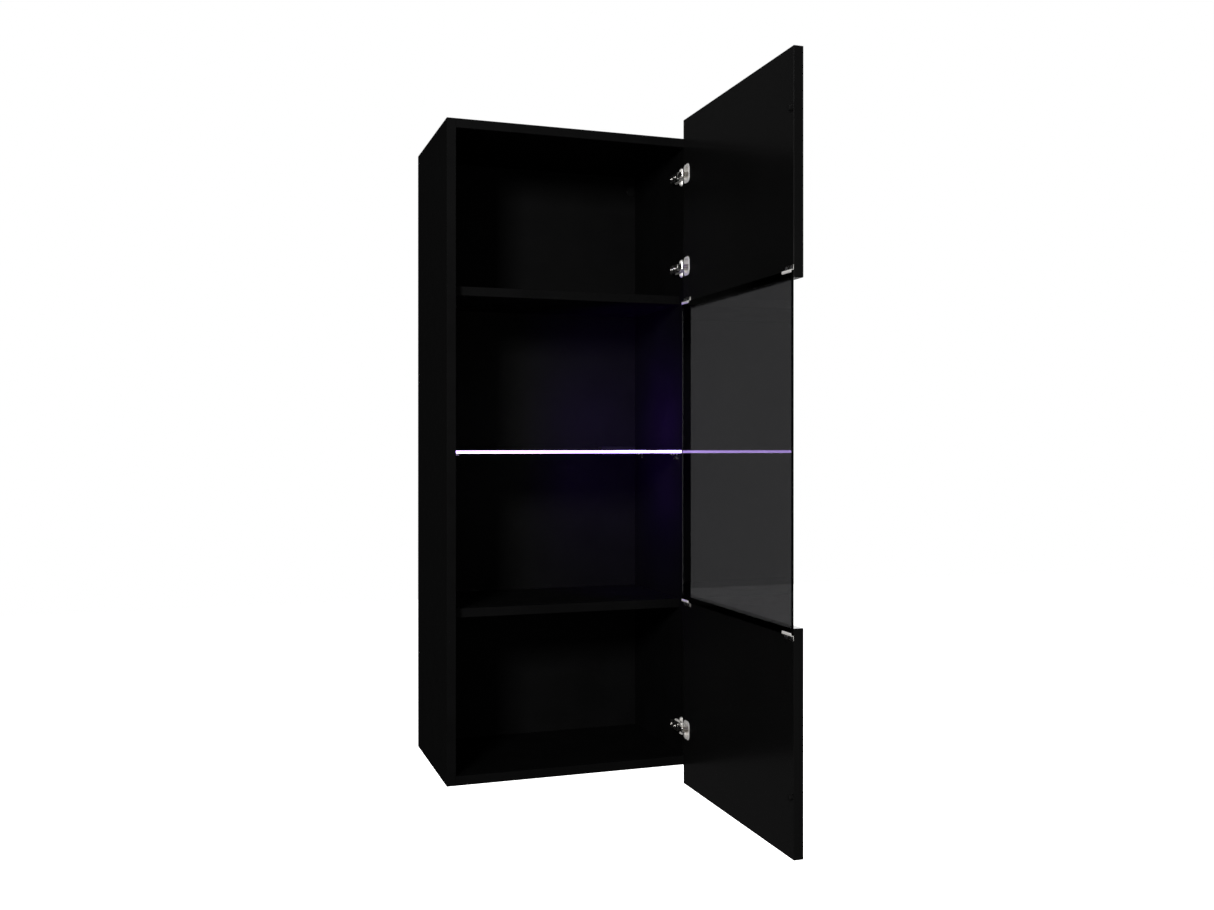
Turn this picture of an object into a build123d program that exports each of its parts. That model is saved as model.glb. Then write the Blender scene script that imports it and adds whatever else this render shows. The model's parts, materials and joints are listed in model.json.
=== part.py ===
from build123d import *
import os

os.makedirs("parts", exist_ok=True)

# Wall-hung display cabinet, in millimetres.
# X runs to the right as seen from the room, Y towards the wall, Z up.
# The origin is the centre of the wall plates' screw pattern, on the wall's surface.
# The door is drawn standing open at a right angle, and its closed place is a quarter turn back.

# Carcass
WIDTH = 450
HEIGHT = 1140
DEPTH = 302
BOARD = 16
EDGE = 0.5
TOP = 62
BACK_SPACE = 25
BACK_THICKNESS = 3
GROOVE_DEPTH = 6
GROOVE_PLAY = 0.2
SHELF_SETBACK = 25
LOWER_SHELF_MIDDLE = 291.5
UPPER_SHELF_MIDDLE = 848.5

# Knock-down fittings, the same at both ends of the four wooden boards that lie flat
FITTING_CAM_LINES = (-240, -75)
FITTING_DOWEL_LINES = (-200, -115)
CAM_SETBACK = 24
CAM_RADIUS = 7.5
CAM_DEPTH = 13
CAM_PLAY = 0.1
CAM_POCKET = 4
CAM_CROSS = (9, 1.4, 2)
CAM_COVER_RADIUS = 8.6
CAM_COVER_THICKNESS = 1
BOLT_BORE_RADIUS = 4
BOLT_SHANK_RADIUS = 3
BOLT_THREAD_RADIUS = 2.5
BOLT_THREAD_LENGTH = 11
BOLT_NECK_RADIUS = 2
BOLT_NECK_LENGTH = 4
BOLT_HEAD_RADIUS = 3.5
BOLT_HEAD_LENGTH = 3
DOWEL_RADIUS = 4
DOWEL_IN_SIDE = 10
DOWEL_IN_BOARD = 24

# Glass shelf and the four supports under it
GLASS_SHELF_MIDDLE = 570
GLASS_SHELF_THICKNESS = 6
GLASS_SHELF_FRONT_GAP = 10
GLASS_SHELF_REAR_GAP = 12
GLASS_SHELF_SIDE_GAP = 1.5
SUPPORT_LINES = {"front": -262, "rear": -75}
SUPPORT_WIDTH = 12
SUPPORT_REACH = 13
SUPPORT_LEDGE = 3
SUPPORT_HEEL = 3.5
SUPPORT_DROP = 11
SUPPORT_PIN_RADIUS = 2.5
SUPPORT_PIN_LENGTH = 8

# Light clip on the rear edge of the glass shelf
CLIP_LAMP_RIGHT_GAP = 9
CLIP_LAMP_LENGTH = 70
CLIP_LAMP_JAW = 6
CLIP_LAMP_GRIP = 16
LENS_THICKNESS = 1.4
LENS_MARGIN = 4
LENS_INSET = 1
LED_BOARD_THICKNESS = 1
LAMP_REAR_GAP = 1.5
BUSH_BORE_RADIUS = 3.5
BUSH_NECK_RADIUS = 5
BUSH_FLANGE_RADIUS = 7
BUSH_FLANGE = 1

# Cabinet hangers and the wall plates that they hook over
PLATE_THICKNESS = 2
PLATE_WIDTH = 56
PLATE_HOLE_RADIUS = 2.75
PLATE_HOLE_SPACING_X = 330
PLATE_HOLE_SPACING_Z = 24
PLATE_HALF_HEIGHT = 22
PLATE_STEP = 5
PLATE_LIP = 10
PLATE_OUTER_GAP = 2
HANGER_WIDTH = 18.5
HANGER_FRONT_GAP = 0.5
HANGER_REAR_GAP = 9
HANGER_BOTTOM = -14
HANGER_PIN_HEIGHTS = (0, 28)
HANGER_PIN_RADIUS = 5
HANGER_PIN_LENGTH = 11
HANGER_CORNER = 1
HOOK_WIDTH = 12.5
HOOK_BAR = 5
HOOK_LEG = 3
HOOK_LEG_GAP = 1.6
HOOK_LEG_DROP = 8
HOOK_PLAY = 0.6
HANGER_SCREW_HEIGHTS = (14, 22)
HANGER_SCREW_RADIUS = 2.5
HANGER_SCREW_HEAD_RADIUS = 3
HANGER_SCREW_HEAD = 2
HANGER_SCREW_LENGTH = 9
HANGER_ACCESS_RADIUS = 7.5
HANGER_ACCESS_HEIGHT = 18
HANGER_CAP_RADIUS = 9
HANGER_CAP_THICKNESS = 1.5
HANGER_CAP_PLUG = 1.2

# Door
DOOR_WIDTH = 447
DOOR_THICKNESS = 16
DOOR_PANEL_HEIGHT = 342.5
DOOR_OVERHANG = 32
DOOR_GAP = 6
DOOR_REVEAL = 2.5
PIVOT_INSET = 8.75
PIVOT_DEPTH = 8.75
PANE_THICKNESS = 4
PANE_OVERLAP = 10.5
PANE_INSET = 5
PANE_EDGE = 0.4
BUMPER_RADIUS = 4.5
BUMPER_HEIGHT = 5.6
BUMPER_INSET = 7
BUMPER_END_GAP = 60

# Clips at the corners of the glass pane
PANE_CLIP_LENGTH = 30
PANE_CLIP_SHEET = 0.8
PANE_CLIP_LIP = 4
PANE_CLIP_FOOT = 7
PANE_CLIP_INSET = 4.5
PANE_CLIP_PLAY = 0.2
PANE_CLIP_CORNER = 2
PANE_SCREW_SPACING = 16
PANE_SCREW_RADIUS = 1.4
PANE_SCREW_LENGTH = 9
PANE_SCREW_HEAD_RADIUS = 2.6
PANE_SCREW_HEAD = 1.2

# Cup hinges, by height above the carcass's underside
HINGE_HEIGHTS = {"lower": 68, "middle": 905, "upper": 1072}
CUP_INSET = 16
CUP_BORE_RADIUS = 13
CUP_BORE_DEPTH = 13
CUP_RADIUS = 12.9
CUP_WALL = 0.8
CUP_DEPTH = 12.8
CUP_FLANGE = (27, 34)
CUP_FLANGE_CORNER = 8
CUP_RIM = 1
HINGE_PIN_RADIUS = 1.25
HINGE_PIN_HALF = 7.5
HINGE_PIN_PLAY = 0.05
EYE_RADIUS = 2.6
FOOT_RELIEF = 2.15
NOSE_HALF_WIDTH = 4.5
EAR_START = 4.9
EAR_REACH = 3
EAR_EDGE = 1.9
ARM_LEG_GAP = 12.25
ARM_THICKNESS = 5
ARM_HALF_WIDTH = 7.5
ARM_FRONT = 3
ARM_LENGTH = 38
ARM_CORNER = 3
MOUNT_LINE = 12
MOUNT_BASE = 2
MOUNT_WING = (10, 32)
MOUNT_FOOT = (38, 16)
MOUNT_BLOCK = (34, 12)
MOUNT_CORNER = 3
MOUNT_FOOT_SHIFT = 12
MOUNT_SCREW_SPACING = 23
MOUNT_SCREW_RADIUS = 1.75
MOUNT_SCREW_LENGTH = 12
MOUNT_SCREW_HEAD_RADIUS = 3.3
MOUNT_SCREW_HEAD = 1.8
ARM_SCREW_LINES = (16, 33)
ARM_SCREW_RADIUS = 2
ARM_SCREW_LENGTH = 9
ARM_SCREW_HEAD_RADIUS = 3.6
ARM_SCREW_HEAD = 1.6

# Places that follow from the driving dimensions
RIGHT = WIDTH / 2
INNER = RIGHT - BOARD
FRONT = -DEPTH
BOTTOM = TOP - HEIGHT
BACK_REAR = -BACK_SPACE
BACK_FRONT = BACK_REAR - BACK_THICKNESS
GROOVE_FRONT = BACK_FRONT - GROOVE_PLAY
GROOVE_REAR = BACK_REAR + GROOVE_PLAY
PIVOT_X = RIGHT - DOOR_REVEAL - PIVOT_INSET
PIVOT_Y = FRONT - DOOR_GAP - PIVOT_DEPTH
DOOR_FACE = PIVOT_X - PIVOT_DEPTH
DOOR_BACK = DOOR_FACE + DOOR_THICKNESS
DOOR_HINGE_EDGE = PIVOT_Y + PIVOT_INSET
DOOR_FREE_EDGE = DOOR_HINGE_EDGE - DOOR_WIDTH
DOOR_BOTTOM = BOTTOM - DOOR_OVERHANG
DOOR_TOP = TOP + DOOR_OVERHANG
GAP_BOTTOM = DOOR_BOTTOM + DOOR_PANEL_HEIGHT
GAP_TOP = DOOR_TOP - DOOR_PANEL_HEIGHT
PANE_FACE = DOOR_FACE - PANE_THICKNESS
PANE_LOW = GAP_BOTTOM - PANE_OVERLAP
PANE_HIGH = GAP_TOP + PANE_OVERLAP
SHELF_GLASS_LOW = BOTTOM + GLASS_SHELF_MIDDLE - GLASS_SHELF_THICKNESS / 2
SHELF_GLASS_HIGH = SHELF_GLASS_LOW + GLASS_SHELF_THICKNESS
SHELF_GLASS_REAR = BACK_FRONT - GLASS_SHELF_REAR_GAP
CLIP_LAMP_RIGHT = INNER - CLIP_LAMP_RIGHT_GAP
CLIP_LAMP_MIDDLE = CLIP_LAMP_RIGHT - CLIP_LAMP_LENGTH / 2
PLATE_LIP_TOP = PLATE_HALF_HEIGHT + PLATE_THICKNESS + PLATE_LIP
ARM_OUTER = PIVOT_X - ARM_LEG_GAP
ARM_INNER = ARM_OUTER - ARM_THICKNESS
MOUNT_Y = FRONT + MOUNT_LINE

# Each board that lies flat, by its middle height and the side that its cams are let in from
FLAT_BOARDS = {
    "top_panel": (TOP - BOARD / 2, 1),
    "upper_shelf": (BOTTOM + UPPER_SHELF_MIDDLE, -1),
    "lower_shelf": (BOTTOM + LOWER_SHELF_MIDDLE, -1),
    "bottom_panel": (BOTTOM + BOARD / 2, -1),
}


def block(low, high, mode=Mode.ADD):
    """A box between two corners, in the part being built."""
    size = Vector(high) - Vector(low)
    with Locations((Vector(low) + Vector(high)) / 2):
        Box(size.X, size.Y, size.Z, mode=mode)


def rod(start, end, radius, mode=Mode.ADD):
    """A round bar from one point to another, in the part being built."""
    run = Vector(end) - Vector(start)
    with Locations(Plane(origin=start, z_dir=run)):
        Cylinder(radius, run.length, align=(Align.CENTER, Align.CENTER, Align.MIN), mode=mode)


def save(builder, label):
    """Names a finished piece and writes it."""
    builder.part.label = label
    export_step(builder.part, f"parts/{label}.step")


def fitting_places(lines):
    """(side, y, middle height, cam side) of one kind of fitting at every board end."""
    places = []
    for middle, cam_side in FLAT_BOARDS.values():
        for side in (-1, 1):
            for y in lines:
                places.append((side, y, middle, cam_side))
    return places


def cut_board_end_bores(middle, cam_side):
    """Cam, bolt and dowel bores in a board that lies flat."""
    face = middle + cam_side * BOARD / 2
    for side in (-1, 1):
        for y in FITTING_CAM_LINES:
            cam_x = side * (INNER - CAM_SETBACK)
            rod((cam_x, y, face), (cam_x, y, face - cam_side * CAM_DEPTH), CAM_RADIUS, Mode.SUBTRACT)
            rod((side * INNER, y, middle), (cam_x, y, middle), BOLT_BORE_RADIUS, Mode.SUBTRACT)
        for y in FITTING_DOWEL_LINES:
            end = (side * (INNER - DOWEL_IN_BOARD), y, middle)
            rod((side * INNER, y, middle), end, DOWEL_RADIUS, Mode.SUBTRACT)


# Side panels, with the bores for every fitting that goes into them
for side, name in ((-1, "left_side"), (1, "right_side")):
    with BuildPart() as side_panel:
        panel_x = sorted((side * INNER, side * RIGHT))
        block((panel_x[0], FRONT, BOTTOM), (panel_x[1], 0, TOP))
        chamfer(side_panel.edges(), EDGE)
        groove = sorted((side * (INNER - EDGE), side * (INNER + GROOVE_DEPTH)))
        half = BOARD / 2
        block(
            (groove[0], GROOVE_FRONT, BOTTOM + half),
            (groove[1], GROOVE_REAR, TOP - half),
            Mode.SUBTRACT,
        )
        for middle, cam_side in FLAT_BOARDS.values():
            for y in FITTING_CAM_LINES:
                deep = (side * (INNER + BOLT_THREAD_LENGTH), y, middle)
                rod((side * INNER, y, middle), deep, BOLT_THREAD_RADIUS, Mode.SUBTRACT)
            for y in FITTING_DOWEL_LINES:
                deep = (side * (INNER + DOWEL_IN_SIDE), y, middle)
                rod((side * INNER, y, middle), deep, DOWEL_RADIUS, Mode.SUBTRACT)
        for y in SUPPORT_LINES.values():
            height = SHELF_GLASS_LOW - SUPPORT_DROP / 2
            deep = (side * (INNER + SUPPORT_PIN_LENGTH), y, height)
            rod((side * INNER, y, height), deep, SUPPORT_PIN_RADIUS, Mode.SUBTRACT)
        for height in HANGER_PIN_HEIGHTS:
            y = (BACK_REAR + HANGER_FRONT_GAP - HANGER_REAR_GAP) / 2
            deep = (side * (INNER + HANGER_PIN_LENGTH), y, height)
            rod((side * INNER, y, height), deep, HANGER_PIN_RADIUS, Mode.SUBTRACT)
        if side == 1:
            for height in HINGE_HEIGHTS.values():
                for offset in (-MOUNT_SCREW_SPACING / 2, MOUNT_SCREW_SPACING / 2):
                    z = BOTTOM + height + offset
                    deep = (INNER + MOUNT_SCREW_LENGTH, MOUNT_Y, z)
                    rod((INNER, MOUNT_Y, z), deep, MOUNT_SCREW_RADIUS, Mode.SUBTRACT)
    save(side_panel, name)

# Top and bottom panels, between the sides and grooved for the back panel
for name in ("top_panel", "bottom_panel"):
    middle, cam_side = FLAT_BOARDS[name]
    inner_face = middle - cam_side * BOARD / 2
    with BuildPart() as end_panel:
        block((-INNER, FRONT, middle - BOARD / 2), (INNER, 0, middle + BOARD / 2))
        chamfer(end_panel.edges().filter_by(Axis.X), EDGE)
        groove = sorted((inner_face - cam_side * EDGE, inner_face + cam_side * GROOVE_DEPTH))
        block((-INNER, GROOVE_FRONT, groove[0]), (INNER, GROOVE_REAR, groove[1]), Mode.SUBTRACT)
        cut_board_end_bores(middle, cam_side)
    save(end_panel, name)

# Fixed shelves, set back from the front
for name in ("upper_shelf", "lower_shelf"):
    middle, cam_side = FLAT_BOARDS[name]
    with BuildPart() as fixed_shelf:
        block(
            (-INNER, FRONT + SHELF_SETBACK, middle - BOARD / 2),
            (INNER, BACK_FRONT, middle + BOARD / 2),
        )
        chamfer(fixed_shelf.edges().filter_by(Axis.X), EDGE)
        cut_board_end_bores(middle, cam_side)
    save(fixed_shelf, name)

# Back panel, held all round in the grooves
BACK_TONGUE = GROOVE_DEPTH - 2 * GROOVE_PLAY
with BuildPart() as back_panel:
    block(
        (-INNER - BACK_TONGUE, BACK_FRONT, BOTTOM + BOARD - BACK_TONGUE),
        (INNER + BACK_TONGUE, BACK_REAR, TOP - BOARD + BACK_TONGUE),
    )
    for side in (-1, 1):
        x = side * (INNER - HANGER_WIDTH / 2)
        rod(
            (x, BACK_FRONT, HANGER_ACCESS_HEIGHT),
            (x, BACK_REAR, HANGER_ACCESS_HEIGHT),
            HANGER_ACCESS_RADIUS,
            Mode.SUBTRACT,
        )
    bush_height = BOTTOM + GLASS_SHELF_MIDDLE
    rod(
        (CLIP_LAMP_MIDDLE, BACK_FRONT, bush_height),
        (CLIP_LAMP_MIDDLE, BACK_REAR, bush_height),
        BUSH_NECK_RADIUS,
        Mode.SUBTRACT,
    )
save(back_panel, "back_panel")

# Cam locks, their bolts and covers, and the wooden dowels
with BuildPart() as cam_locks:
    for side, y, middle, cam_side in fitting_places(FITTING_CAM_LINES):
        x = side * (INNER - CAM_SETBACK)
        face = middle + cam_side * BOARD / 2
        rod((x, y, face), (x, y, face - cam_side * (CAM_DEPTH - CAM_PLAY)), CAM_RADIUS - CAM_PLAY)
        pocket = sorted((x - side * CAM_POCKET, x + side * CAM_RADIUS))
        block(
            (pocket[0], y - CAM_POCKET, middle - CAM_POCKET),
            (pocket[1], y + CAM_POCKET, middle + CAM_POCKET),
            Mode.SUBTRACT,
        )
        length, breadth, depth = CAM_CROSS
        with Locations((x, y, face)):
            Box(length, breadth, 2 * depth, mode=Mode.SUBTRACT)
            Box(breadth, length, 2 * depth, mode=Mode.SUBTRACT)
save(cam_locks, "cam_locks")

with BuildPart() as cam_bolts:
    for side, y, middle, cam_side in fitting_places(FITTING_CAM_LINES):
        thread_end = (side * (INNER + BOLT_THREAD_LENGTH), y, middle)
        board_end = (side * INNER, y, middle)
        head_end = INNER - CAM_SETBACK - BOLT_HEAD_LENGTH / 2
        neck_end = head_end + BOLT_HEAD_LENGTH
        shank_end = neck_end + BOLT_NECK_LENGTH
        rod(thread_end, board_end, BOLT_THREAD_RADIUS)
        rod(board_end, (side * shank_end, y, middle), BOLT_SHANK_RADIUS)
        rod((side * shank_end, y, middle), (side * neck_end, y, middle), BOLT_NECK_RADIUS)
        rod((side * neck_end, y, middle), (side * head_end, y, middle), BOLT_HEAD_RADIUS)
save(cam_bolts, "cam_bolts")

with BuildPart() as cam_covers:
    for side, y, middle, cam_side in fitting_places(FITTING_CAM_LINES):
        x = side * (INNER - CAM_SETBACK)
        face = middle + cam_side * BOARD / 2
        rod((x, y, face), (x, y, face + cam_side * CAM_COVER_THICKNESS), CAM_COVER_RADIUS)
save(cam_covers, "cam_covers")

with BuildPart() as wooden_dowels:
    for side, y, middle, cam_side in fitting_places(FITTING_DOWEL_LINES):
        rod(
            (side * (INNER + DOWEL_IN_SIDE), y, middle),
            (side * (INNER - DOWEL_IN_BOARD), y, middle),
            DOWEL_RADIUS,
        )
save(wooden_dowels, "wooden_dowels")

# Glass shelf
with BuildPart() as glass_shelf:
    reach = INNER - GLASS_SHELF_SIDE_GAP
    block(
        (-reach, FRONT + GLASS_SHELF_FRONT_GAP, SHELF_GLASS_LOW),
        (reach, SHELF_GLASS_REAR, SHELF_GLASS_HIGH),
    )
    chamfer(glass_shelf.edges(), EDGE)
save(glass_shelf, "glass_shelf")

# Shelf supports: a heel against the side, a pin into it and a ledge under the glass
for side, hand in ((-1, "left"), (1, "right")):
    for place, y in SUPPORT_LINES.items():
        with BuildPart() as support:
            ledge = sorted((side * INNER, side * (INNER - SUPPORT_REACH)))
            heel = sorted((side * INNER, side * (INNER - SUPPORT_HEEL)))
            half = SUPPORT_WIDTH / 2
            block(
                (ledge[0], y - half, SHELF_GLASS_LOW - SUPPORT_LEDGE),
                (ledge[1], y + half, SHELF_GLASS_LOW),
            )
            block(
                (heel[0], y - half, SHELF_GLASS_LOW - SUPPORT_DROP),
                (heel[1], y + half, SHELF_GLASS_LOW),
            )
            tip = support.faces().sort_by(Axis.X)[0 if side == 1 else -1]
            fillet(tip.edges().filter_by(Axis.Z), SUPPORT_WIDTH / 4)
            height = SHELF_GLASS_LOW - SUPPORT_DROP / 2
            pin_end = (side * (INNER + SUPPORT_PIN_LENGTH), y, height)
            rod((side * INNER, y, height), pin_end, SUPPORT_PIN_RADIUS)
        save(support, f"shelf_support_{place}_{hand}")

# Light clip: a housing whose jaws grip the glass, a circuit board and the lens in front of it
LAMP_LEFT = CLIP_LAMP_RIGHT - CLIP_LAMP_LENGTH
LAMP_FRONT = SHELF_GLASS_REAR - CLIP_LAMP_GRIP
LAMP_REAR = BACK_FRONT - LAMP_REAR_GAP
LAMP_SEAT = SHELF_GLASS_REAR + LENS_THICKNESS + LED_BOARD_THICKNESS
LENS_LEFT = LAMP_LEFT + LENS_MARGIN
LENS_RIGHT = CLIP_LAMP_RIGHT - LENS_MARGIN
LENS_LOW = SHELF_GLASS_LOW + LENS_INSET
LENS_HIGH = SHELF_GLASS_HIGH - LENS_INSET
with BuildPart() as led_clip:
    block(
        (LAMP_LEFT, LAMP_FRONT, SHELF_GLASS_LOW - CLIP_LAMP_JAW),
        (CLIP_LAMP_RIGHT, LAMP_REAR, SHELF_GLASS_HIGH + CLIP_LAMP_JAW),
    )
    fillet(led_clip.edges().filter_by(Axis.X), 2 * EDGE)
    block(
        (LAMP_LEFT, LAMP_FRONT, SHELF_GLASS_LOW),
        (CLIP_LAMP_RIGHT, SHELF_GLASS_REAR, SHELF_GLASS_HIGH),
        Mode.SUBTRACT,
    )
    block((LENS_LEFT, SHELF_GLASS_REAR, LENS_LOW), (LENS_RIGHT, LAMP_SEAT, LENS_HIGH), Mode.SUBTRACT)
save(led_clip, "led_clip")

LENS_REAR = SHELF_GLASS_REAR + LENS_THICKNESS
with BuildPart() as led_lens:
    block((LENS_LEFT, SHELF_GLASS_REAR, LENS_LOW), (LENS_RIGHT, LENS_REAR, LENS_HIGH))
save(led_lens, "led_lens")

with BuildPart() as led_board:
    block((LENS_LEFT, LENS_REAR, LENS_LOW), (LENS_RIGHT, LAMP_SEAT, LENS_HIGH))
save(led_board, "led_board")

# Bush in the back panel where the lamp's lead would leave
with BuildPart() as cable_bush:
    rod(
        (CLIP_LAMP_MIDDLE, BACK_FRONT - BUSH_FLANGE, bush_height),
        (CLIP_LAMP_MIDDLE, BACK_FRONT, bush_height),
        BUSH_FLANGE_RADIUS,
    )
    rod(
        (CLIP_LAMP_MIDDLE, BACK_FRONT, bush_height),
        (CLIP_LAMP_MIDDLE, BACK_REAR, bush_height),
        BUSH_NECK_RADIUS,
    )
    rod(
        (CLIP_LAMP_MIDDLE, BACK_REAR, bush_height),
        (CLIP_LAMP_MIDDLE, BACK_REAR + BUSH_FLANGE, bush_height),
        BUSH_FLANGE_RADIUS,
    )
    rod(
        (CLIP_LAMP_MIDDLE, BACK_FRONT - BUSH_FLANGE, bush_height),
        (CLIP_LAMP_MIDDLE, BACK_REAR + BUSH_FLANGE, bush_height),
        BUSH_BORE_RADIUS,
        Mode.SUBTRACT,
    )
save(cable_bush, "cable_bush")

# Wall plates, bent so that a hook drops behind the lip
for side, hand in ((-1, "left"), (1, "right")):
    plate_start = INNER - PLATE_OUTER_GAP - PLATE_WIDTH if side == 1 else -INNER + PLATE_OUTER_GAP
    step_top = PLATE_HALF_HEIGHT + PLATE_THICKNESS
    lip_front = -PLATE_STEP - PLATE_THICKNESS
    with BuildPart() as wall_plate:
        with BuildSketch(Plane.YZ.offset(plate_start)):
            with BuildLine():
                Polyline(
                    (0, -PLATE_HALF_HEIGHT),
                    (0, step_top),
                    (-PLATE_STEP, step_top),
                    (-PLATE_STEP, PLATE_LIP_TOP),
                    (lip_front, PLATE_LIP_TOP),
                    (lip_front, PLATE_HALF_HEIGHT),
                    (-PLATE_THICKNESS, PLATE_HALF_HEIGHT),
                    (-PLATE_THICKNESS, -PLATE_HALF_HEIGHT),
                    close=True,
                )
            make_face()
        extrude(amount=PLATE_WIDTH)
        for z in (-PLATE_HOLE_SPACING_Z / 2, PLATE_HOLE_SPACING_Z / 2):
            x = side * PLATE_HOLE_SPACING_X / 2
            rod((x, -PLATE_THICKNESS, z), (x, 0, z), PLATE_HOLE_RADIUS, Mode.SUBTRACT)
    save(wall_plate, f"wall_plate_{hand}")

# Hanger housings behind the back panel, pinned into the sides
HANGER_Y = (BACK_REAR + HANGER_FRONT_GAP, -HANGER_REAR_GAP)
HANGER_PIN_Y = sum(HANGER_Y) / 2
for side, hand in ((-1, "left"), (1, "right")):
    hanger_x = sorted((side * INNER, side * (INNER - HANGER_WIDTH)))
    middle_x = sum(hanger_x) / 2
    hook_low = PLATE_LIP_TOP - HOOK_PLAY
    hook_high = PLATE_LIP_TOP + HOOK_BAR + HOOK_PLAY
    half_slot = HOOK_WIDTH / 2 + HOOK_PLAY
    with BuildPart() as hanger_body:
        block((hanger_x[0], HANGER_Y[0], HANGER_BOTTOM), (hanger_x[1], HANGER_Y[1], TOP - BOARD))
        fillet(hanger_body.edges().filter_by(Axis.Z), HANGER_CORNER)
        block(
            (middle_x - half_slot, HANGER_PIN_Y - HOOK_LEG, hook_low),
            (middle_x + half_slot, HANGER_Y[1], hook_high),
            Mode.SUBTRACT,
        )
        for z in HANGER_PIN_HEIGHTS:
            pin_end = (side * (INNER + HANGER_PIN_LENGTH), HANGER_PIN_Y, z)
            rod((side * INNER, HANGER_PIN_Y, z), pin_end, HANGER_PIN_RADIUS)
        for z in HANGER_SCREW_HEIGHTS:
            seat = (middle_x, HANGER_Y[0], z)
            rod(seat, (middle_x, HANGER_Y[0] + HANGER_SCREW_LENGTH, z), HANGER_SCREW_RADIUS, Mode.SUBTRACT)
            shoulder = (middle_x, HANGER_Y[0] + HANGER_SCREW_HEAD, z)
            rod(seat, shoulder, HANGER_SCREW_HEAD_RADIUS, Mode.SUBTRACT)
    save(hanger_body, f"hanger_body_{hand}")

    with BuildPart() as hanger_hook:
        with BuildSketch(Plane.YZ.offset(middle_x - HOOK_WIDTH / 2)):
            with BuildLine():
                Polyline(
                    (HANGER_PIN_Y - HOOK_LEG + HOOK_PLAY, PLATE_LIP_TOP),
                    (-HOOK_LEG_GAP - HOOK_LEG, PLATE_LIP_TOP),
                    (-HOOK_LEG_GAP - HOOK_LEG, PLATE_LIP_TOP - HOOK_LEG_DROP),
                    (-HOOK_LEG_GAP, PLATE_LIP_TOP - HOOK_LEG_DROP),
                    (-HOOK_LEG_GAP, PLATE_LIP_TOP + HOOK_BAR),
                    (HANGER_PIN_Y - HOOK_LEG + HOOK_PLAY, PLATE_LIP_TOP + HOOK_BAR),
                    close=True,
                )
            make_face()
        extrude(amount=HOOK_WIDTH)
    save(hanger_hook, f"hanger_hook_{hand}")

    with BuildPart() as hanger_cap:
        cap_face = BACK_FRONT - HANGER_CAP_THICKNESS
        face_centre = (middle_x, cap_face, HANGER_ACCESS_HEIGHT)
        rod(face_centre, (middle_x, BACK_FRONT, HANGER_ACCESS_HEIGHT), HANGER_CAP_RADIUS)
        fillet(hanger_cap.edges().sort_by(Axis.Y)[0], HANGER_CORNER)
        rod(
            (middle_x, BACK_FRONT, HANGER_ACCESS_HEIGHT),
            (middle_x, BACK_FRONT + HANGER_CAP_PLUG, HANGER_ACCESS_HEIGHT),
            HANGER_ACCESS_RADIUS,
        )
    save(hanger_cap, f"hanger_cap_{hand}")

with BuildPart() as hanger_screws:
    for side in (-1, 1):
        x = side * (INNER - HANGER_WIDTH / 2)
        for z in HANGER_SCREW_HEIGHTS:
            seat = (x, HANGER_Y[0], z)
            shoulder = (x, HANGER_Y[0] + HANGER_SCREW_HEAD, z)
            rod(seat, shoulder, HANGER_SCREW_HEAD_RADIUS)
            rod(shoulder, (x, HANGER_Y[0] + HANGER_SCREW_LENGTH, z), HANGER_SCREW_RADIUS)
save(hanger_screws, "hanger_screws")

# Door panels, bored for the hinge cups and drilled for the clip screws
CUP_Y = DOOR_HINGE_EDGE - CUP_INSET
CLIP_Y_STARTS = {
    "hinge": DOOR_HINGE_EDGE - PANE_CLIP_INSET - PANE_CLIP_LENGTH,
    "free": DOOR_FREE_EDGE,
}
# Each row of clips, by the edge of the glass and the direction away from the opening
CLIP_ROWS = {"lower": (PANE_LOW, -1), "upper": (PANE_HIGH, 1)}


def clip_screw_points(row):
    """The two screws of each clip in one row, on the door panel's inner face."""
    edge, away = CLIP_ROWS[row]
    z = edge + away * (PANE_CLIP_PLAY + PANE_CLIP_SHEET + PANE_CLIP_FOOT / 2)
    points = []
    for start in CLIP_Y_STARTS.values():
        for offset in (-PANE_SCREW_SPACING / 2, PANE_SCREW_SPACING / 2):
            points.append((DOOR_FACE, start + PANE_CLIP_LENGTH / 2 + offset, z))
    return points


DOOR_PANELS = {
    "door_lower_panel": (DOOR_BOTTOM, "lower", ("lower",)),
    "door_upper_panel": (GAP_TOP, "upper", ("middle", "upper")),
}
for name, (low, row, hinges) in DOOR_PANELS.items():
    with BuildPart() as door_panel:
        block((DOOR_FACE, DOOR_FREE_EDGE, low), (DOOR_BACK, DOOR_HINGE_EDGE, low + DOOR_PANEL_HEIGHT))
        chamfer(door_panel.edges(), EDGE)
        for hinge in hinges:
            z = BOTTOM + HINGE_HEIGHTS[hinge]
            floor = (DOOR_FACE + CUP_BORE_DEPTH, CUP_Y, z)
            rod((DOOR_FACE, CUP_Y, z), floor, CUP_BORE_RADIUS, Mode.SUBTRACT)
        for x, y, z in clip_screw_points(row):
            rod((x, y, z), (x + PANE_SCREW_LENGTH, y, z), PANE_SCREW_RADIUS, Mode.SUBTRACT)
    save(door_panel, name)

# Glass pane on the inner faces of the two door panels
with BuildPart() as door_glass:
    block((PANE_FACE, DOOR_FREE_EDGE, PANE_LOW), (DOOR_FACE, DOOR_HINGE_EDGE - PANE_INSET, PANE_HIGH))
    chamfer(door_glass.edges(), PANE_EDGE)
save(door_glass, "door_glass")

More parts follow.
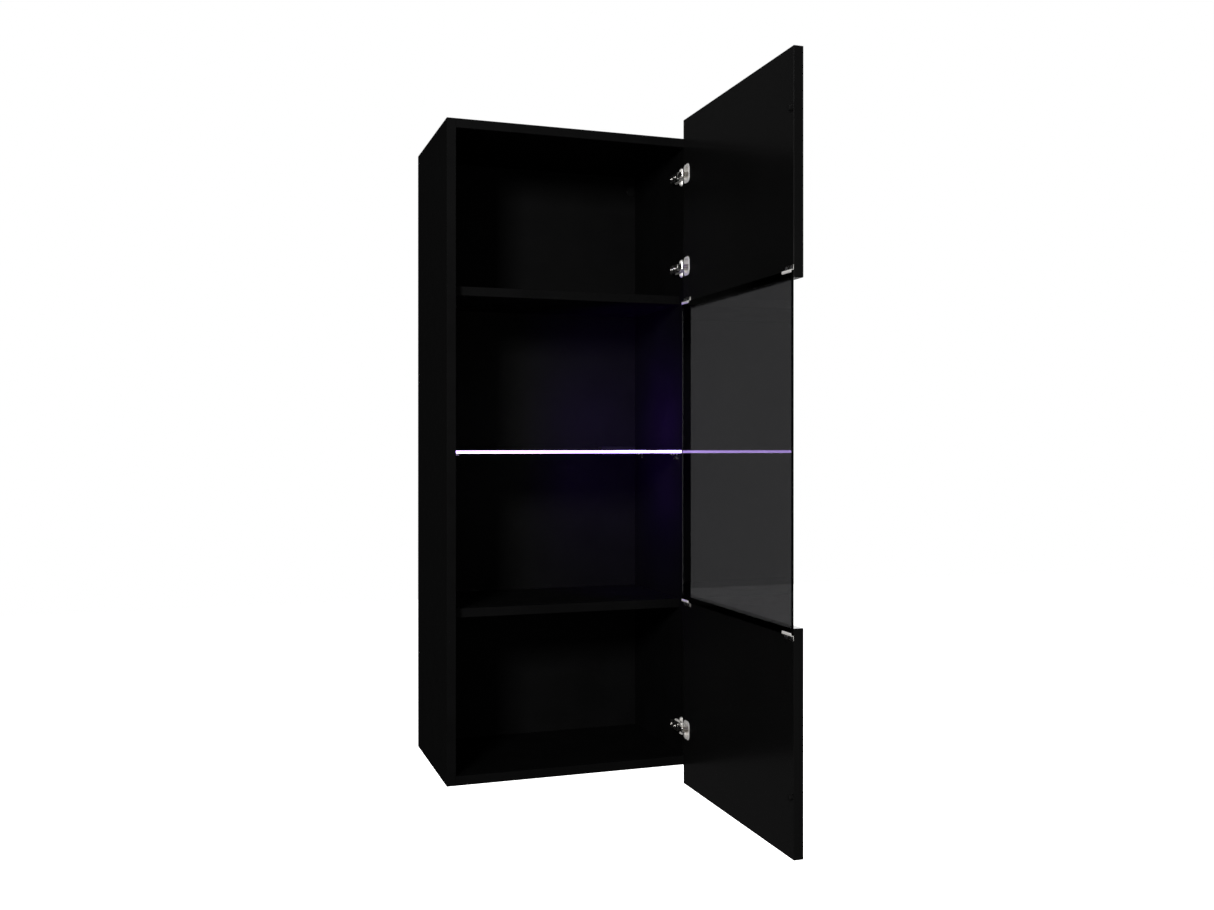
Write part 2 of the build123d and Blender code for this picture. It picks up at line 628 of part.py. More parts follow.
# Clips: a foot on the panel, a riser past the edge of the glass and a lip over it
for row, (edge, away) in CLIP_ROWS.items():
    riser = edge + away * PANE_CLIP_PLAY
    shoulder = riser + away * PANE_CLIP_SHEET
    lip_end = riser - away * PANE_CLIP_LIP
    foot_end = shoulder + away * PANE_CLIP_FOOT
    lip_face = PANE_FACE - PANE_CLIP_SHEET
    foot_face = DOOR_FACE - PANE_CLIP_SHEET
    for place, start in CLIP_Y_STARTS.items():
        with BuildPart() as glass_clip:
            with BuildSketch(Plane.XZ.offset(-start)):
                with BuildLine():
                    Polyline(
                        (PANE_FACE, lip_end),
                        (PANE_FACE, riser),
                        (DOOR_FACE, riser),
                        (DOOR_FACE, foot_end),
                        (foot_face, foot_end),
                        (foot_face, shoulder),
                        (lip_face, shoulder),
                        (lip_face, lip_end),
                        close=True,
                    )
                make_face()
            extrude(amount=-PANE_CLIP_LENGTH)
            for x, y, z in clip_screw_points(row):
                if start < y < start + PANE_CLIP_LENGTH:
                    rod((foot_face, y, z), (DOOR_FACE, y, z), PANE_SCREW_RADIUS, Mode.SUBTRACT)
            corners = glass_clip.edges().filter_by(Axis.X)
            fillet(corners.group_by(Axis.Z)[0 if away == -1 else -1], PANE_CLIP_CORNER)
        save(glass_clip, f"glass_clip_{row}_{place}")

with BuildPart() as glass_clip_screws:
    for row in CLIP_ROWS:
        for x, y, z in clip_screw_points(row):
            seat = x - PANE_CLIP_SHEET
            rod((seat - PANE_SCREW_HEAD, y, z), (seat, y, z), PANE_SCREW_HEAD_RADIUS)
            rod((seat, y, z), (x + PANE_SCREW_LENGTH, y, z), PANE_SCREW_RADIUS)
save(glass_clip_screws, "glass_clip_screws")

# Bumpers that meet the carcass's left edge when the door shuts
for name, z in (("top", TOP - BUMPER_END_GAP), ("bottom", BOTTOM + BUMPER_END_GAP)):
    with BuildPart() as bumper:
        y = DOOR_FREE_EDGE + BUMPER_INSET
        rod((DOOR_FACE - BUMPER_HEIGHT, y, z), (DOOR_FACE, y, z), BUMPER_RADIUS)
        fillet(bumper.edges().sort_by(Axis.X)[0], BUMPER_RADIUS / 3)
    save(bumper, f"door_bumper_{name}")

# Hinges: cup and pin on the door, arm and mounting plate on the carcass
for name, height in HINGE_HEIGHTS.items():
    z = BOTTOM + height

    with BuildPart() as cup:
        with BuildSketch(Plane.YZ.offset(DOOR_FACE - CUP_RIM)):
            with Locations((CUP_Y, z)):
                RectangleRounded(*CUP_FLANGE, CUP_FLANGE_CORNER)
        extrude(amount=CUP_RIM)
        fillet(cup.edges().group_by(Axis.X)[0], CUP_RIM / 2)
        rod((DOOR_FACE, CUP_Y, z), (DOOR_FACE + CUP_DEPTH, CUP_Y, z), CUP_RADIUS)
        fillet(cup.edges().sort_by(Axis.X)[-1], CUP_RIM)
        rod(
            (DOOR_FACE - CUP_RIM, CUP_Y, z),
            (DOOR_FACE + CUP_DEPTH - CUP_WALL, CUP_Y, z),
            CUP_RADIUS - CUP_WALL,
            Mode.SUBTRACT,
        )
        for start, end in ((EAR_START, HINGE_PIN_HALF), (-HINGE_PIN_HALF, -EAR_START)):
            block(
                (PIVOT_X - EAR_REACH, PIVOT_Y - EAR_REACH, z + start),
                (DOOR_FACE + CUP_DEPTH - CUP_WALL / 2, PIVOT_Y + EAR_EDGE, z + end),
            )
        rod(
            (PIVOT_X, PIVOT_Y, z - HINGE_PIN_HALF),
            (PIVOT_X, PIVOT_Y, z + HINGE_PIN_HALF),
            HINGE_PIN_RADIUS,
            Mode.SUBTRACT,
        )
    save(cup, f"hinge_cup_{name}")

    with BuildPart() as pin:
        rod(
            (PIVOT_X, PIVOT_Y, z - HINGE_PIN_HALF),
            (PIVOT_X, PIVOT_Y, z + HINGE_PIN_HALF),
            HINGE_PIN_RADIUS,
        )
    save(pin, f"hinge_pin_{name}")

    arm_start = FRONT + ARM_FRONT
    with BuildPart() as arm:
        with BuildSketch(Plane.XY.offset(z - NOSE_HALF_WIDTH)):
            with BuildLine():
                Polyline(
                    (PIVOT_X, PIVOT_Y - EYE_RADIUS),
                    (PIVOT_X, PIVOT_Y + EYE_RADIUS),
                    (ARM_OUTER, PIVOT_Y + EYE_RADIUS - FOOT_RELIEF),
                    (ARM_OUTER, arm_start + ARM_CORNER),
                    (ARM_INNER, arm_start + ARM_CORNER),
                    (ARM_INNER, PIVOT_Y - EYE_RADIUS),
                    close=True,
                )
            make_face()
            with Locations((PIVOT_X, PIVOT_Y)):
                Circle(EYE_RADIUS)
        extrude(amount=2 * NOSE_HALF_WIDTH)
        outer_bend = arm.edges().filter_by(Axis.Z).filter_by_position(Axis.X, ARM_INNER, ARM_INNER + 1)
        fillet(outer_bend.sort_by(Axis.Y)[0], ARM_CORNER)
        with BuildSketch(Plane.YZ.offset(ARM_INNER)):
            with Locations((arm_start + ARM_LENGTH / 2, z)):
                RectangleRounded(ARM_LENGTH, 2 * ARM_HALF_WIDTH, ARM_CORNER)
        extrude(amount=ARM_THICKNESS)
        rod(
            (PIVOT_X, PIVOT_Y, z - NOSE_HALF_WIDTH),
            (PIVOT_X, PIVOT_Y, z + NOSE_HALF_WIDTH),
            HINGE_PIN_RADIUS + HINGE_PIN_PLAY,
            Mode.SUBTRACT,
        )
        for line in ARM_SCREW_LINES:
            rod(
                (ARM_INNER, FRONT + line, z),
                (ARM_OUTER, FRONT + line, z),
                ARM_SCREW_RADIUS,
                Mode.SUBTRACT,
            )
    save(arm, f"hinge_arm_{name}")

    with BuildPart() as mounting_plate:
        with BuildSketch(Plane.YZ.offset(INNER - MOUNT_BASE)):
            with Locations((MOUNT_Y, z)):
                RectangleRounded(*MOUNT_WING, MOUNT_CORNER)
            with Locations((MOUNT_Y + MOUNT_FOOT_SHIFT, z)):
                RectangleRounded(*MOUNT_FOOT, MOUNT_CORNER)
        extrude(amount=MOUNT_BASE)
        with BuildSketch(Plane.YZ.offset(ARM_OUTER)):
            with Locations((MOUNT_Y + MOUNT_FOOT_SHIFT, z)):
                RectangleRounded(*MOUNT_BLOCK, MOUNT_CORNER)
        extrude(amount=INNER - MOUNT_BASE - ARM_OUTER)
        for offset in (-MOUNT_SCREW_SPACING / 2, MOUNT_SCREW_SPACING / 2):
            rod(
                (INNER - MOUNT_BASE, MOUNT_Y, z + offset),
                (INNER, MOUNT_Y, z + offset),
                MOUNT_SCREW_RADIUS,
                Mode.SUBTRACT,
            )
        for line in ARM_SCREW_LINES:
            rod(
                (ARM_OUTER, FRONT + line, z),
                (ARM_INNER + ARM_SCREW_LENGTH, FRONT + line, z),
                ARM_SCREW_RADIUS,
                Mode.SUBTRACT,
            )
    save(mounting_plate, f"hinge_plate_{name}")

with BuildPart() as hinge_plate_screws:
    for height in HINGE_HEIGHTS.values():
        for offset in (-MOUNT_SCREW_SPACING / 2, MOUNT_SCREW_SPACING / 2):
            z = BOTTOM + height + offset
            seat = INNER - MOUNT_BASE
            rod((seat - MOUNT_SCREW_HEAD, MOUNT_Y, z), (seat, MOUNT_Y, z), MOUNT_SCREW_HEAD_RADIUS)
            rod((seat, MOUNT_Y, z), (INNER + MOUNT_SCREW_LENGTH, MOUNT_Y, z), MOUNT_SCREW_RADIUS)
save(hinge_plate_screws, "hinge_plate_screws")

with BuildPart() as hinge_arm_screws:
    for height in HINGE_HEIGHTS.values():
        z = BOTTOM + height
        for line in ARM_SCREW_LINES:
            y = FRONT + line
            rod((ARM_INNER - ARM_SCREW_HEAD, y, z), (ARM_INNER, y, z), ARM_SCREW_HEAD_RADIUS)
            rod((ARM_INNER, y, z), (ARM_INNER + ARM_SCREW_LENGTH, y, z), ARM_SCREW_RADIUS)
save(hinge_arm_screws, "hinge_arm_screws")
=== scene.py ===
import json
import math

import bmesh
import bpy
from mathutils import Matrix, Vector


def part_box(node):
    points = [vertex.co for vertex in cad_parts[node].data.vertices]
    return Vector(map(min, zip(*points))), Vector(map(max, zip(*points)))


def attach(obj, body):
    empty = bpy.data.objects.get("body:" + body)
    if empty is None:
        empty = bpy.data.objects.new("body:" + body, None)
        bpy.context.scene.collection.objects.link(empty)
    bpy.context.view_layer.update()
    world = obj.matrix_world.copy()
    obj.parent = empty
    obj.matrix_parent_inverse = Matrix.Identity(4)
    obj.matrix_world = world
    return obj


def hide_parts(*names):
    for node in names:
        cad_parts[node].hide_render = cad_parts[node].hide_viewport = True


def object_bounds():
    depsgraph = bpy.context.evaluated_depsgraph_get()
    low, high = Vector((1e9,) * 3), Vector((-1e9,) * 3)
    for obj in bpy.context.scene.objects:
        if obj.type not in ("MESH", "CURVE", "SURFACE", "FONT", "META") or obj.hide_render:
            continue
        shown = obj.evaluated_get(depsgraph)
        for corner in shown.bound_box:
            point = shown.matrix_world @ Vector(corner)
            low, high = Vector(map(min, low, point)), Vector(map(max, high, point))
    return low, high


# A black wall-hung display cabinet with a lit glass shelf and its door standing open.
# Metres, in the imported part's own frame: X right, Y into the wall, Z up.

MM = 0.001

# Camera, level and turned a little to the right, with a slight shift for the framing
CAMERA_PLACE = (-0.6099, -2.3918, -0.4993)
CAMERA_TURN = -19.94
CAMERA_LENS = 36.52
CAMERA_SHIFT = (-0.0378, -0.00667)
SENSOR_WIDTH = 36

# The painted glow on the shelf's front edge, an emission band standing in for the clip's light carried
# through the glass:
# its reach either side of the middle, its soft border, and the depth behind the front face where the
# painted glow starts to fade and where it ends
LIT_HALF = 0.002
LIT_FADE = 0.0004
LIT_DEPTH = (0.0004, 0.0006)

# Backdrop: white in view, FILL of that as a light on the object and REFLECTED in reflections
BACKGROUND = (1, 1, 1, 1)
FILL = 0.6
REFLECTED = 0.03
FLOOR_DROP = 0.55
FLOOR_SIZE = 14
FLOOR_GLOW = 0.93

# Softboxes: place, width and height, watts. All face the middle of the cabinet.
MIDDLE = (0, -0.15, -0.5)
SOFTBOXES = {
    "key_softbox": ((-1.65, -2.75, 0.4), (0.5, 0.5), 84),
    "right_softbox": ((3.2, -0.8, 0.4), (1.6, 2.2), 60),
    "top_softbox": ((0.4, 0.3, 2.4), (1.6, 1.2), 60),
    "rear_softbox": ((1.2, 3.2, 0.4), (2.0, 2.0), 26),
}

# The glow beside the lit shelf: where its lights stand from the light clip, how far their target
# lies from them, both along X and Y, their size, and their height above and below the shelf
VIOLET = (0.22, 0.02, 1.0)
GLOW_FROM_CLIP = (-0.07, -0.165)
GLOW_AIM = (0.9, 0.43)
GLOW_SIZE = (0.06, 0.08)
GLOW_ABOVE = 0.05
GLOW_BELOW = 0.06

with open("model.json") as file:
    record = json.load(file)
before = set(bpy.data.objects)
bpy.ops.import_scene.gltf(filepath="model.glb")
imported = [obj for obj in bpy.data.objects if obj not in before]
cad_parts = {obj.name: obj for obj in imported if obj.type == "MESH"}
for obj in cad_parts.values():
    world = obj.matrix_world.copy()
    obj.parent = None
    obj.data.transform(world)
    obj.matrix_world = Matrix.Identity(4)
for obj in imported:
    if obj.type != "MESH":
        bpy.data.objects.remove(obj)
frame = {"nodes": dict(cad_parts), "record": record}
CAD_LOW, CAD_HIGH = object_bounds()


# Node helpers ---------------------------------------------------------------------------------

def shader(name, colour, roughness, **sockets):
    """A new material with one Principled shader, and its constant inputs set on the shader itself."""
    made = bpy.data.materials.new(name)
    made.use_nodes = True
    principled = made.node_tree.nodes["Principled BSDF"]
    principled.inputs["Base Color"].default_value = (*colour, 1)
    principled.inputs["Roughness"].default_value = roughness
    for socket, value in sockets.items():
        principled.inputs[socket.replace("_", " ")].default_value = value
    return made, made.node_tree, principled


def place(tree, stretch=(1, 1, 1)):
    """Position on the piece, which stays put as the piece moves, scaled along each axis."""
    coordinates = tree.nodes.new("ShaderNodeTexCoord")
    mapping = tree.nodes.new("ShaderNodeMapping")
    mapping.inputs["Scale"].default_value = stretch
    tree.links.new(coordinates.outputs["Object"], mapping.inputs["Vector"])
    return mapping.outputs["Vector"]


def noise(tree, vector, size, detail=2):
    """Soft noise, with lumps of about the given size in metres. Gives 0 to 1."""
    node = tree.nodes.new("ShaderNodeTexNoise")
    node.inputs["Scale"].default_value = 1 / size
    node.inputs["Detail"].default_value = detail
    tree.links.new(vector, node.inputs["Vector"])
    return node.outputs["Fac"]


def spread(tree, value, low, high, start=0.3, end=0.7):
    """Maps a value from start..end to low..high."""
    node = tree.nodes.new("ShaderNodeMapRange")
    for socket, number in (("From Min", start), ("From Max", end), ("To Min", low), ("To Max", high)):
        node.inputs[socket].default_value = number
    tree.links.new(value, node.inputs["Value"])
    return node.outputs["Result"]


def tones(tree, value, *stops):
    """A colour ramp through (position, colour) stops."""
    node = tree.nodes.new("ShaderNodeValToRGB")
    elements = node.color_ramp.elements
    while len(elements) < len(stops):
        elements.new(0.5)
    for element, (position, colour) in zip(elements, stops):
        element.position = position
        element.color = (*colour, 1)
    tree.links.new(value, node.inputs["Fac"])
    return node.outputs["Color"]


def mottled(tree, cloud, colour, amount):
    """A colour that turns darker and lighter with a cloud, by the given share."""
    dark, light = (tuple(share * c for c in colour) for share in (1 - amount, 1 + amount))
    return tones(tree, cloud, (0.3, dark), (0.7, light))


def bump(tree, principled, height, depth):
    """Surface relief of the given depth in metres."""
    node = tree.nodes.new("ShaderNodeBump")
    node.inputs["Distance"].default_value = depth
    tree.links.new(height, node.inputs["Height"])
    tree.links.new(node.outputs["Normal"], principled.inputs["Normal"])


# Materials ------------------------------------------------------------------------------------

def facing(tree, axis):
    """1 on faces that point along an axis of the piece, 0 elsewhere."""
    coordinates = tree.nodes.new("ShaderNodeTexCoord")
    split = tree.nodes.new("ShaderNodeSeparateXYZ")
    tree.links.new(coordinates.outputs["Normal"], split.inputs["Vector"])
    return spread(tree, split.outputs[axis], 0, 1, start=0.5, end=0.6)


def blended(tree, fac, first, second):
    """One colour where fac is 0 and the other where it is 1."""
    node = tree.nodes.new("ShaderNodeMix")
    node.data_type = "RGBA"
    tree.links.new(fac, node.inputs["Factor"])
    tree.links.new(first, node.inputs["A"])
    tree.links.new(second, node.inputs["B"])
    return node.outputs["Result"]


def chips(tree, vector, size, *stops):
    """The patchwork of pressed wood particles on an uncoated face."""
    node = tree.nodes.new("ShaderNodeTexVoronoi")
    node.inputs["Scale"].default_value = 1 / size
    tree.links.new(vector, node.inputs["Vector"])
    grey = tree.nodes.new("ShaderNodeSeparateColor")
    tree.links.new(node.outputs["Color"], grey.inputs["Color"])
    return tones(tree, grey.outputs["Red"], *stops)


def pressed_board(name, colour, roughness, chip, core):
    """A black board with a fine pearl texture, and its uncoated core on the faces towards the wall."""
    made, tree, principled = shader(name, colour, roughness, Specular_IOR_Level=0.06)
    vector = place(tree)
    cloud = noise(tree, vector, size=0.06, detail=3)
    face = mottled(tree, cloud, colour, 0.14)
    raw = chips(tree, place(tree, stretch=(1, 1, 2.2)), chip, *core)
    tree.links.new(blended(tree, facing(tree, "Y"), face, raw), principled.inputs["Base Color"])
    tree.links.new(spread(tree, cloud, roughness - 0.04, roughness + 0.05), principled.inputs["Roughness"])
    bump(tree, principled, noise(tree, vector, size=0.0009), depth=0.00004)
    return made


def lacquer(name, colour, roughness, front_roughness):
    """Lacquer with a shallow orange peel, satin inside and glossier on the face that shows when shut."""
    made, tree, principled = shader(name, colour, roughness, Specular_IOR_Level=0.5)
    vector = place(tree)
    cloud = noise(tree, vector, size=0.12)
    tree.links.new(mottled(tree, cloud, colour, 0.08), principled.inputs["Base Color"])
    satin = spread(tree, cloud, roughness - 0.02, roughness + 0.03)
    mix = tree.nodes.new("ShaderNodeMix")
    tree.links.new(facing(tree, "X"), mix.inputs["Factor"])
    tree.links.new(satin, mix.inputs["A"])
    mix.inputs["B"].default_value = front_roughness
    tree.links.new(mix.outputs["Result"], principled.inputs["Roughness"])
    bump(tree, principled, noise(tree, vector, size=0.004), depth=0.00002)
    return made


def glass(name, colour):
    """Float glass, clear or tinted through, with a trace of cleaning haze in its shine."""
    made, tree, principled = shader(name, colour, 0.0, Transmission_Weight=1.0, IOR=1.5)
    haze = noise(tree, place(tree), size=0.05, detail=3)
    tree.links.new(spread(tree, haze, 0.0, 0.012, start=0.4, end=0.75), principled.inputs["Roughness"])
    return made


def plated(name, colour, roughness, metallic=1.0):
    """Plated metal with a faintly uneven polish."""
    made, tree, principled = shader(name, colour, roughness, Metallic=metallic)
    vector = place(tree)
    polish = noise(tree, vector, size=0.004, detail=3)
    tree.links.new(spread(tree, polish, roughness - 0.05, roughness + 0.07), principled.inputs["Roughness"])
    bump(tree, principled, noise(tree, vector, size=0.0007), depth=0.00001)
    return made


def timber(name, *stops):
    """Straight-grained beech: long fibres along the piece with short darker flecks."""
    made, tree, principled = shader(name, stops[0][1], 0.55)
    fibre = noise(tree, place(tree, stretch=(0.12, 1, 1)), size=0.0006, detail=3)
    tree.links.new(tones(tree, fibre, *stops), principled.inputs["Base Color"])
    bump(tree, principled, fibre, depth=0.00004)
    return made


def moulded(name, colour, roughness, **sockets):
    """Moulded plastic or rubber with a fine spark-eroded grain."""
    made, tree, principled = shader(name, colour, roughness, **sockets)
    vector = place(tree)
    tone = noise(tree, vector, size=0.008)
    tree.links.new(mottled(tree, tone, colour, 0.15), principled.inputs["Base Color"])
    bump(tree, principled, noise(tree, vector, size=0.0006), depth=0.00003)
    return made


def painted_glow_glass(name, colour, glow, strength):
    """Clear glass with painted light on its front edge: an emission band standing in for the light the clip
    feeds in at the back.
    """
    made = glass(name, colour)
    tree = made.node_tree
    principled = tree.nodes["Principled BSDF"]
    low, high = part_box("glass_shelf")
    coordinates = tree.nodes.new("ShaderNodeTexCoord")
    split = tree.nodes.new("ShaderNodeSeparateXYZ")
    tree.links.new(coordinates.outputs["Object"], split.inputs["Vector"])
    edge = spread(tree, split.outputs["Y"], strength, 0, *(low.y + depth for depth in LIT_DEPTH))
    middle = (low.z + high.z) / 2
    above = spread(tree, split.outputs["Z"], 1, 0, middle + LIT_HALF, middle + LIT_HALF + LIT_FADE)
    below = spread(tree, split.outputs["Z"], 0, 1, middle - LIT_HALF - LIT_FADE, middle - LIT_HALF)
    for side in (above, below):
        product = tree.nodes.new("ShaderNodeMath")
        product.operation = "MULTIPLY"
        tree.links.new(edge, product.inputs[0])
        tree.links.new(side, product.inputs[1])
        edge = product.outputs[0]
    # Painted light: the edge band glows by emission in place of the clip's light carried through the glass
    principled.inputs["Emission Color"].default_value = (*glow, 1)
    tree.links.new(edge, principled.inputs["Emission Strength"])
    return made


CHIPBOARD = ((0.1, (0.2, 0.12, 0.06)), (0.45, (0.42, 0.29, 0.16)), (0.9, (0.6, 0.45, 0.28)))
HARDBOARD = ((0.0, (0.13, 0.072, 0.036)), (0.5, (0.17, 0.1, 0.052)), (1.0, (0.22, 0.135, 0.072)))
BEECH = ((0.3, (0.46, 0.3, 0.17)), (0.55, (0.6, 0.43, 0.27)), (0.75, (0.68, 0.51, 0.34)))
BLACK_BOARD = (0.0018, 0.0018, 0.00185)
BLACK_FOIL = (0.0021, 0.0021, 0.00215)
BLACK_LACQUER = (0.0027, 0.0027, 0.0027)
SMOKE = (0.035, 0.035, 0.036)
CLEAR = (0.86, 0.93, 0.91)
NICKEL = (0.74, 0.72, 0.69)
LAMPLIGHT = (0.55, 0.36, 1.0)
SATIN_NICKEL = plated("satin_nickel", (0.88, 0.86, 0.83), 0.4, metallic=0.56)
BLACK_OXIDE = plated("black_oxide_steel", (0.02, 0.02, 0.022), 0.4, metallic=0.6)

MATERIALS = {
    "carcass_laminate": pressed_board("black_melamine", BLACK_BOARD, 0.55, chip=0.0016, core=CHIPBOARD),
    "back_hardboard": pressed_board("black_foil", BLACK_FOIL, 0.6, chip=0.0007, core=HARDBOARD),
    "door_lacquer": lacquer("black_lacquer", BLACK_LACQUER, 0.2, front_roughness=0.09),
    "smoked_glass": glass("smoked_glass_tint", SMOKE),
    # The shelf glass's front edge glows with painted light, an emission band rather than light from a lamp
    "shelf_glass": painted_glow_glass("clear_glass", CLEAR, LAMPLIGHT, strength=4.5),
    "zinc_fittings": plated("die_cast_zinc", (0.55, 0.55, 0.57), 0.42),
    "black_plastic": moulded("black_moulding", (0.0035, 0.0035, 0.0036), 0.5, Specular_IOR_Level=0.15),
    "beech": timber("beech_wood", *BEECH),
    "nickel": plated("nickel_plate", NICKEL, 0.24),
    "steel_pin": plated("drawn_steel", (0.55, 0.55, 0.56), 0.3),
    "galvanised_steel": plated("zinc_plate", (0.42, 0.43, 0.44), 0.38),
    "led_diffuser": moulded(
        "opal_lens", (0.8, 0.78, 1.0), 0.3, Emission_Color=(*LAMPLIGHT, 1), Emission_Strength=2.0
    ),
    "circuit_board": moulded("solder_resist", (0.04, 0.16, 0.08), 0.35),
    "black_rubber": moulded("soft_rubber", (0.0027, 0.0027, 0.0027), 0.7, Specular_IOR_Level=0.1),
}

for part in frame["record"]["subparts"]:
    node = frame["nodes"][part["node"]]
    for material_slot in node.material_slots:
        material_slot.material = MATERIALS[part["material_slot"]]


# Fittings -------------------------------------------------------------------------------------

# Points around each round corner, degrees between the points of an arc, and the angle between
# two faces from which the edge between them is drawn sharp
CORNER_POINTS = 12
ARC_STEP = 22.5
SHARP_ANGLE = 40


def rounded(width, height, corner):
    """A rectangle with round corners, about the origin."""
    points = []
    for quadrant in range(4):
        for step in range(CORNER_POINTS):
            angle = (quadrant + (step + 0.5) / CORNER_POINTS) * math.pi / 2
            along, across = math.cos(angle), math.sin(angle)
            middle_a = math.copysign(width / 2 - corner, along)
            middle_b = math.copysign(height / 2 - corner, across)
            points.append((middle_a + corner * along, middle_b + corner * across))
    return points


def circle(radius):
    return rounded(2 * radius, 2 * radius, radius)


def arc(centre, radii, start, sweep):
    """Points along part of an ellipse or a circle, from a start angle through a sweep, in degrees."""
    points = []
    for step in range(round(abs(sweep) / ARC_STEP) + 1):
        angle = math.radians(start + math.copysign(ARC_STEP, sweep) * step)
        points.append((centre[0] + radii[0] * math.cos(angle), centre[1] + radii[1] * math.sin(angle)))
    return points


def loft(mesh, centre, rings):
    """A closed skin through rings given as (height towards -X, outline in Y and Z), capped at both ends."""
    made = []
    for height, outline in rings:
        made.append([mesh.verts.new((centre.x - height, centre.y + a, centre.z + b)) for a, b in outline])
    for first, second in zip(made, made[1:]):
        for i in range(len(first)):
            mesh.faces.new((first[i - 1], first[i], second[i], second[i - 1]))
    mesh.faces.new(made[0])
    mesh.faces.new(made[-1])
    return made


def pad(mesh, centre, width, height, corner, thickness, edge):
    """A flat pressing with round corners in outline and a soft upper edge."""
    full = rounded(width, height, corner)
    rings = [(0, full), (thickness - edge, full)]
    for degrees in (30, 60, 90):
        angle = math.radians(degrees)
        inset = edge * (1 - math.cos(angle))
        outline = rounded(width - 2 * inset, height - 2 * inset, corner - inset)
        rings.append((thickness - edge * (1 - math.sin(angle)), outline))
    loft(mesh, centre, rings)


def prism(mesh, outline, low, high, axis, edge):
    """An outline in X and Z drawn out along Y, or in X and Y along Z, with small round edges."""
    ends = []
    for level in (low, high):
        corners = [(a, level, b) if axis == "Y" else (a, b, level) for a, b in outline]
        ends.append([mesh.verts.new(corner) for corner in corners])
    faces = [mesh.faces.new(ends[0]), mesh.faces.new(ends[1])]
    for i in range(len(outline)):
        faces.append(mesh.faces.new((ends[0][i - 1], ends[0][i], ends[1][i], ends[1][i - 1])))
    rims = [line for end in faces[:2] for line in end.edges]
    bmesh.ops.bevel(
        mesh, geom=rims, offset=edge, segments=3, profile=0.5, affect="EDGES", clamp_overlap=True
    )


def screw(mesh, seat, head_radius, head, radius, length, recess):
    """A pan-head screw that points along +X from its seat, with a cross recess in its head."""
    rings = [
        (-length, circle(0.25 * radius)),
        (-length + radius, circle(radius)),
        (0, circle(radius)),
        (0, circle(head_radius)),
        (0.45 * head, circle(head_radius)),
        (0.8 * head, circle(0.9 * head_radius)),
        (head, circle(0.7 * head_radius)),
    ]
    made = loft(mesh, seat, rings)
    top = next(face for face in made[-1][0].link_faces if len(face.verts) > 4)
    bmesh.ops.delete(mesh, geom=[top], context="FACES_ONLY")
    wide, reach = 0.16 * recess, 0.5 * recess
    quarter = ((reach, -wide), (reach, wide), (wide, wide))
    cross = []
    for _ in range(4):
        cross.extend(quarter)
        quarter = [(-b, a) for a, b in quarter]
    loops = []
    for height, shrink in ((head, 1), (0.35 * head, 0.75)):
        corners = [(seat.x - height, seat.y + shrink * a, seat.z + shrink * b) for a, b in cross]
        loops.append([mesh.verts.new(corner) for corner in corners])
    for i in range(len(cross)):
        mesh.faces.new((loops[0][i - 1], loops[0][i], loops[1][i], loops[1][i - 1]))
    mesh.faces.new(loops[1])
    lines = []
    for ring in (made[-1], loops[0]):
        lines.extend(mesh.edges.get((ring[i - 1], ring[i])) for i in range(len(ring)))
    bmesh.ops.triangle_fill(mesh, use_beauty=True, edges=lines)


def finished(mesh, name, body, slot, material, *nodes):
    """The mesh as a piece that rides on a body and stands for the given CAD nodes."""
    bmesh.ops.recalc_face_normals(mesh, faces=mesh.faces)
    data = bpy.data.meshes.new(name)
    mesh.to_mesh(data)
    mesh.free()
    data.materials.append(material)
    data.shade_smooth()
    data.set_sharp_from_angle(angle=math.radians(SHARP_ANGLE))
    piece = bpy.data.objects.new(name, data)
    bpy.context.scene.collection.objects.link(piece)
    normals = piece.modifiers.new("face_normals", "WEIGHTED_NORMAL")
    normals.keep_sharp = True
    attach(piece, body)
    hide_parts(*nodes)
    return piece


HINGES = ("lower", "middle", "upper")

# Cups: the flange's thickness, the bowl, and the ears, which start at these distances from the pin's
# middle and end inside the bowl's floor
CUP_FLANGE = 1 * MM
CUP_RADIUS = 12.9 * MM
CUP_WALL = 0.8 * MM
CUP_CORNER = 8 * MM
EAR_STARTS = (4.9 * MM, -7.5 * MM)
EAR_THICKNESS = 2.6 * MM
EAR_RADIUS = 2.45 * MM
EAR_EDGE = 0.4 * MM
EAR_SINK = 0.4 * MM

# Arms: length, width and thickness of the flat part, and the leaves around the pin, whose sides are
# from the pin's middle. A leaf starts a little under the flat part's top face.
ARM_PLATE = (38 * MM, 15 * MM, 5 * MM)
ARM_CORNER = 3 * MM
ARM_EDGE = 2 * MM
EYE_RADIUS = 2.6 * MM
LEAVES = ((-4.5 * MM, -2.1 * MM), (-1.6 * MM, 1.6 * MM), (2.1 * MM, 4.5 * MM))
LEAF_SINK = 0.4 * MM
LEAF_REACH = 0.45 * MM
LEAF_EDGE = 0.35 * MM
ARM_SCREWS = (8 * MM, 25 * MM)

# Mounting plates: each pad's depth and height, its soft edge, and the thickness of wings and foot
WING = (10 * MM, 32 * MM)
FOOT = (38 * MM, 16 * MM)
BLOCK = (34 * MM, 12 * MM)
WING_EDGE = 1.4 * MM
FOOT_EDGE = 0.6 * MM
BLOCK_EDGE = 0.5 * MM
PLATE_CORNER = 3 * MM
BASE = 2 * MM
WING_INSET = 7 * MM
FOOT_SHIFT = 12 * MM
WING_SCREWS = (-11.5 * MM, 11.5 * MM)

# Glass clips: the foot reaches this far from the bend at the glass's edge, and is polished from a
# little past the bend. The screws are placed from the clip's middle and from the foot's end.
CLIP_FOOT = 8 * MM
CLIP_SHEET = 0.8 * MM
CLIP_SIDE_EDGE = 0.15 * MM
CLIP_POLISHED = 1.2 * MM
CLIP_SCREWS = (-8 * MM, 8 * MM)
CLIP_SCREW_INSET = 3.5 * MM

# Screws: head radius, head height, shank radius, length under the head, width of the cross recess
ARM_SCREW = (3.6 * MM, 1.6 * MM, 2 * MM, 9 * MM, 3.6 * MM)
PLATE_SCREW = (3.3 * MM, 1.8 * MM, 1.75 * MM, 14 * MM, 3.4 * MM)
CLIP_SCREW = (2.6 * MM, 1.2 * MM, 1.4 * MM, 9.8 * MM, 2.8 * MM)


